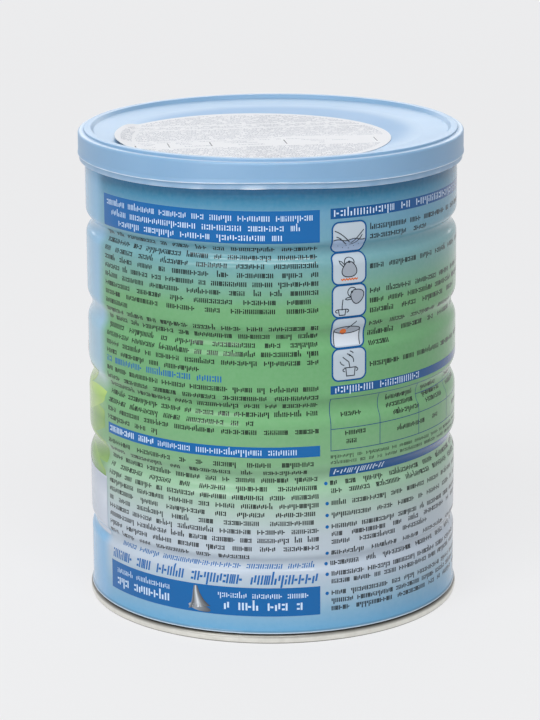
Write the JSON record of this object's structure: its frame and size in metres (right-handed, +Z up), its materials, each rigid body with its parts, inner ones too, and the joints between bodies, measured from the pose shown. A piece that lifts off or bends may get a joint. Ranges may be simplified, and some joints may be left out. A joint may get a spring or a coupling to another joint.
{
  "type": "infant formula can",
  "caption": "Round beaded tin with a seamed bottom end, a plastic overcap with a stacking ring, and a round paper label on the overcap.",
  "frame": {"origin": "middle of the ring that the can stands on", "axes": "+Z up along the can's axis, front of the print towards -Y, +X to the viewer's right"},
  "size_m": [0.1316, 0.1316, 0.1641],
  "materials": {
    "printed_tin": "printed and varnished tin plate: light blue over green over pale grey over blue",
    "bare_tin": "clear-lacquered tin plate",
    "overcap": "satin light blue moulded plastic",
    "paper": "white paper with grey rows of print"
  },
  "bodies": {
    "root": {"can_body": "printed_tin", "bottom_end": "bare_tin", "lid": "overcap", "lid_sticker": "paper"}
  },
  "joints": []
}
